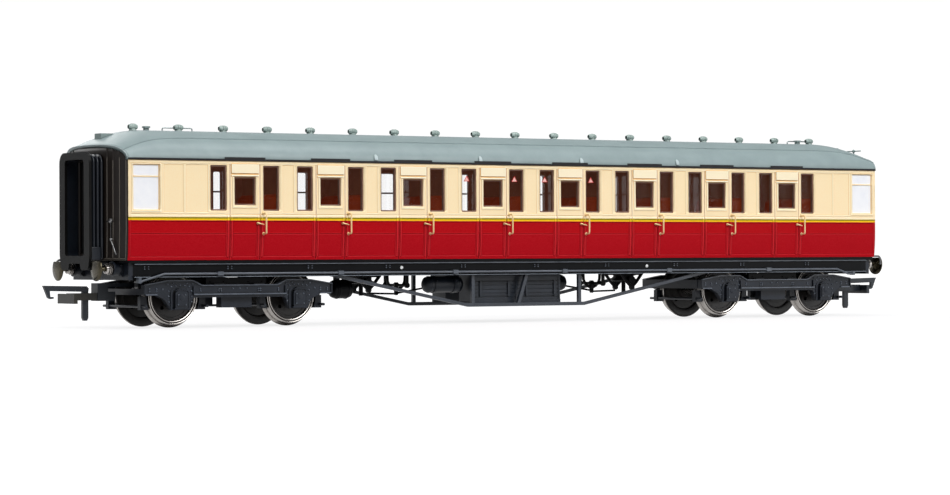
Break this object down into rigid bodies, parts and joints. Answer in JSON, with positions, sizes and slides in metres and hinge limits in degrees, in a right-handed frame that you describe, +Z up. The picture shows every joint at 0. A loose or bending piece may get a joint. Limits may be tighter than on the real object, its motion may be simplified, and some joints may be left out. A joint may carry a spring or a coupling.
{
  "type": "model railway coach",
  "caption": "Model corridor passenger coach with swivelling bogies, sprung buffers, gangways, detailed underframe and swinging hook couplings.",
  "frame": {"origin": "middle of the coach at the lowest point of the wheel flanges", "axes": "+X along the coach towards the rear end, -Y towards the compartment side, +Z up"},
  "size_m": [0.2706, 0.0402, 0.052],
  "materials": {
    "body_paint": "satin cream over crimson",
    "roof_grey": "matt",
    "trim_black": "satin",
    "glazing": "clear",
    "opal_pane": "satin",
    "frame_brown": "satin",
    "handle_brass": "satin",
    "vent_grey": "matt",
    "rail_wire": "satin",
    "gangway_black": "matt",
    "plate_grey": "satin",
    "door_brown": "satin",
    "underframe_black": "satin",
    "bogie_black": "satin",
    "coupling_black": "satin",
    "interior_brown": "matt",
    "seat_brown": "matt",
    "ballast_steel": "dull",
    "screw_steel": "bright",
    "spring_steel": "bright",
    "buffer_steel": "satin",
    "wheel_steel": "blackened with bright treads",
    "axle_steel": "bright",
    "bearing_brass": "bright"
  },
  "bodies": {
    "coach": {"ballast_plate": "ballast_steel", "battery_boxes": "underframe_black", "bench_seats": "seat_brown", "body_screws": "screw_steel", "body_shell": "body_paint", "brake_linkage": "underframe_black", "buffer_housings": "underframe_black", "buffer_springs": "spring_steel", "chassis_floor": "underframe_black", "corridor_handrail": "handle_brass", "door_handles": "handle_brass", "dynamo": "underframe_black", "end_doors": "door_brown", "end_pipes": "trim_black", "gangway_bellows": "gangway_black", "gangway_face_plates": "plate_grey", "glazing_strips": "glazing", "gutter_strips": "trim_black", "headstocks": "underframe_black", "inside_moulding": "interior_brown", "lavatory_panes": "opal_pane", "pivot_screws": "screw_steel", "roof_board_brackets": "trim_black", "roof_fittings": "roof_grey", "roof_handrails": "rail_wire", "roof_rain_strips": "roof_grey", "roof_shell": "roof_grey", "roof_ventilators": "vent_grey", "side_trusses": "underframe_black", "solebar_pipes": "underframe_black", "solebars": "underframe_black", "vacuum_cylinders": "underframe_black", "vacuum_reservoirs": "underframe_black", "window_frames": "frame_brown"},
    "front_bogie": {"front_bogie_frame": "bogie_black", "front_bogie_sides": "bogie_black", "front_axle_bearings": "bearing_brass", "front_brake_gear": "bogie_black"},
    "front_outer_wheelset": {"front_outer_axle": "axle_steel", "front_outer_wheels": "wheel_steel"},
    "front_inner_wheelset": {"front_inner_axle": "axle_steel", "front_inner_wheels": "wheel_steel"},
    "front_near_buffer": {"front_near_buffer": "buffer_steel"},
    "front_far_buffer": {"front_far_buffer": "buffer_steel"},
    "front_coupling": {"front_coupling_arm": "coupling_black", "front_coupling_head": "coupling_black"},
    "front_hook": {"front_coupling_hook": "coupling_black"},
    "rear_bogie": {"rear_bogie_frame": "bogie_black", "rear_bogie_sides": "bogie_black", "rear_axle_bearings": "bearing_brass", "rear_brake_gear": "bogie_black"},
    "rear_outer_wheelset": {"rear_outer_axle": "axle_steel", "rear_outer_wheels": "wheel_steel"},
    "rear_inner_wheelset": {"rear_inner_axle": "axle_steel", "rear_inner_wheels": "wheel_steel"},
    "rear_near_buffer": {"rear_near_buffer": "buffer_steel"},
    "rear_far_buffer": {"rear_far_buffer": "buffer_steel"},
    "rear_coupling": {"rear_coupling_arm": "coupling_black", "rear_coupling_head": "coupling_black"},
    "rear_hook": {"rear_coupling_hook": "coupling_black"}
  },
  "joints": [
    {"name": "front_bogie_swivel", "type": "hinge", "parent": "coach", "child": "front_bogie", "pos_m": [-0.087, 0, 0.0115], "axis": [0, 0, 1], "range_deg": [-12, 12]},
    {"name": "front_outer_wheel_spin", "type": "hinge", "parent": "front_bogie", "child": "front_outer_wheelset", "pos_m": [-0.104, 0, 0.0077], "axis": [0, 1, 0], "continuous": true},
    {"name": "front_inner_wheel_spin", "type": "hinge", "parent": "front_bogie", "child": "front_inner_wheelset", "pos_m": [-0.07, 0, 0.0077], "axis": [0, 1, 0], "continuous": true},
    {"name": "front_near_buffer_slide", "type": "slide", "parent": "coach", "child": "front_near_buffer", "axis": [1, 0, 0], "range_m": [0, 0.0009], "stiffness_N_per_m": 100, "springref_m": -0.001, "deforming": ["buffer_springs"]},
    {"name": "front_far_buffer_slide", "type": "slide", "parent": "coach", "child": "front_far_buffer", "axis": [1, 0, 0], "range_m": [0, 0.0009], "stiffness_N_per_m": 100, "springref_m": -0.001, "deforming": ["buffer_springs"]},
    {"name": "front_coupling_swing", "type": "hinge", "parent": "coach", "child": "front_coupling", "pos_m": [-0.109, 0, 0.0109], "axis": [0, 0, 1], "range_deg": [-10, 10]},
    {"name": "front_hook_lift", "type": "hinge", "parent": "front_coupling", "child": "front_hook", "pos_m": [-0.12375, 0, 0.0081], "axis": [0, 1, 0], "range_deg": [0, 20]},
    {"name": "rear_bogie_swivel", "type": "hinge", "parent": "coach", "child": "rear_bogie", "pos_m": [0.087, 0, 0.0115], "axis": [0, 0, 1], "range_deg": [-12, 12]},
    {"name": "rear_outer_wheel_spin", "type": "hinge", "parent": "rear_bogie", "child": "rear_outer_wheelset", "pos_m": [0.104, 0, 0.0077], "axis": [0, 1, 0], "continuous": true},
    {"name": "rear_inner_wheel_spin", "type": "hinge", "parent": "rear_bogie", "child": "rear_inner_wheelset", "pos_m": [0.07, 0, 0.0077], "axis": [0, 1, 0], "continuous": true},
    {"name": "rear_near_buffer_slide", "type": "slide", "parent": "coach", "child": "rear_near_buffer", "axis": [-1, 0, 0], "range_m": [0, 0.0009], "stiffness_N_per_m": 100, "springref_m": -0.001, "deforming": ["buffer_springs"]},
    {"name": "rear_far_buffer_slide", "type": "slide", "parent": "coach", "child": "rear_far_buffer", "axis": [-1, 0, 0], "range_m": [0, 0.0009], "stiffness_N_per_m": 100, "springref_m": -0.001, "deforming": ["buffer_springs"]},
    {"name": "rear_coupling_swing", "type": "hinge", "parent": "coach", "child": "rear_coupling", "pos_m": [0.109, 0, 0.0109], "axis": [0, 0, 1], "range_deg": [-10, 10]},
    {"name": "rear_hook_lift", "type": "hinge", "parent": "rear_coupling", "child": "rear_hook", "pos_m": [0.12375, 0, 0.0081], "axis": [0, -1, 0], "range_deg": [0, 20]}
  ]
}
